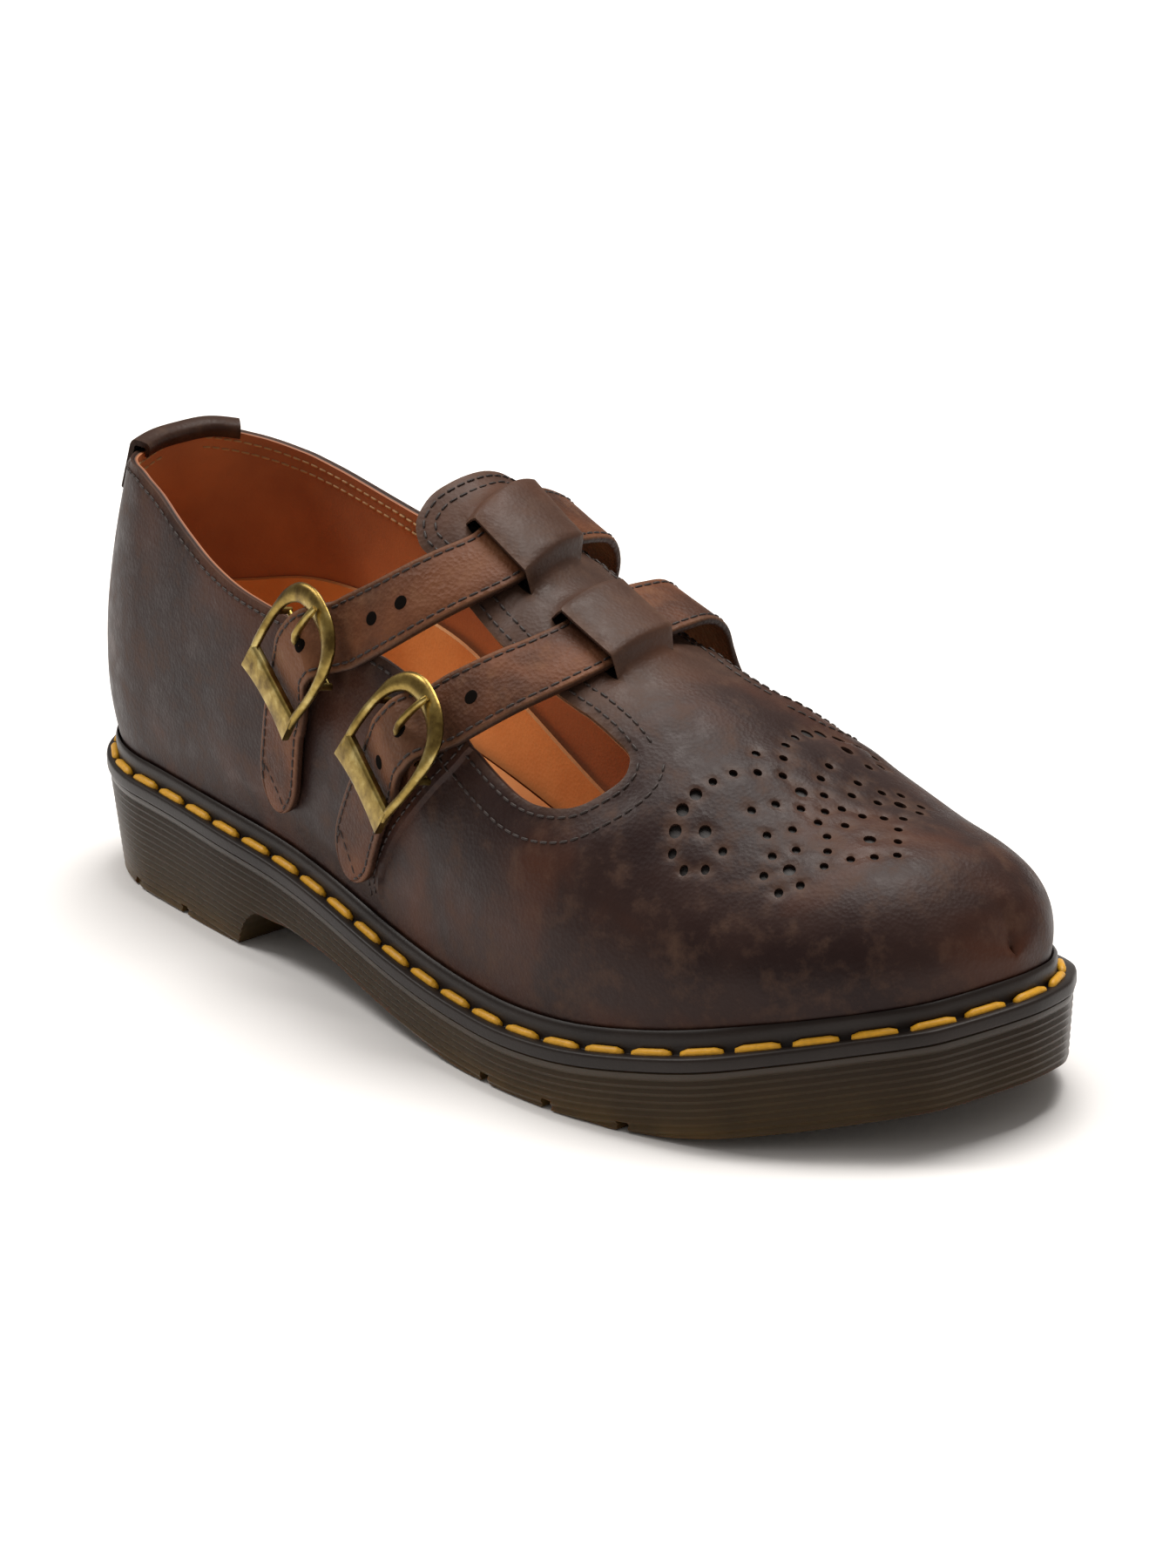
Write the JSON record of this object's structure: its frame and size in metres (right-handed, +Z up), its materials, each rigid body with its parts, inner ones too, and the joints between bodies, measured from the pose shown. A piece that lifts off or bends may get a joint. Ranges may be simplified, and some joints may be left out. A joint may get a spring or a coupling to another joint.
{
  "type": "mary jane shoe",
  "caption": "Flat mary jane shoe with buckled straps over a T-bar, cut-out sides, a stitched welt and a ribbed rubber sole with a low heel.",
  "frame": {"origin": "on the floor under the middle of the welt's outline", "axes": "+X from the heel to the toe, +Y to the inner side of the foot, +Z up from the floor"},
  "size_m": [0.3, 0.1086, 0.1215],
  "materials": {
    "outsole": "satin",
    "welt": "satin",
    "insole": "matte",
    "upper": "satin",
    "strap_rear": "satin",
    "strap_front": "satin",
    "buckle_frame_rear": "satin",
    "buckle_frame_front": "satin",
    "buckle_pin_rear": "satin",
    "buckle_pin_front": "satin",
    "chape_rear": "satin",
    "chape_front": "satin",
    "heel_tab": "satin"
  },
  "bodies": {
    "root": {"outsole": "outsole", "welt": "welt", "insole": "insole", "upper": "upper", "strap_rear": "strap_rear", "strap_front": "strap_front", "buckle_frame_rear": "buckle_frame_rear", "buckle_frame_front": "buckle_frame_front", "buckle_pin_rear": "buckle_pin_rear", "buckle_pin_front": "buckle_pin_front", "chape_rear": "chape_rear", "chape_front": "chape_front", "heel_tab": "heel_tab"}
  },
  "joints": []
}
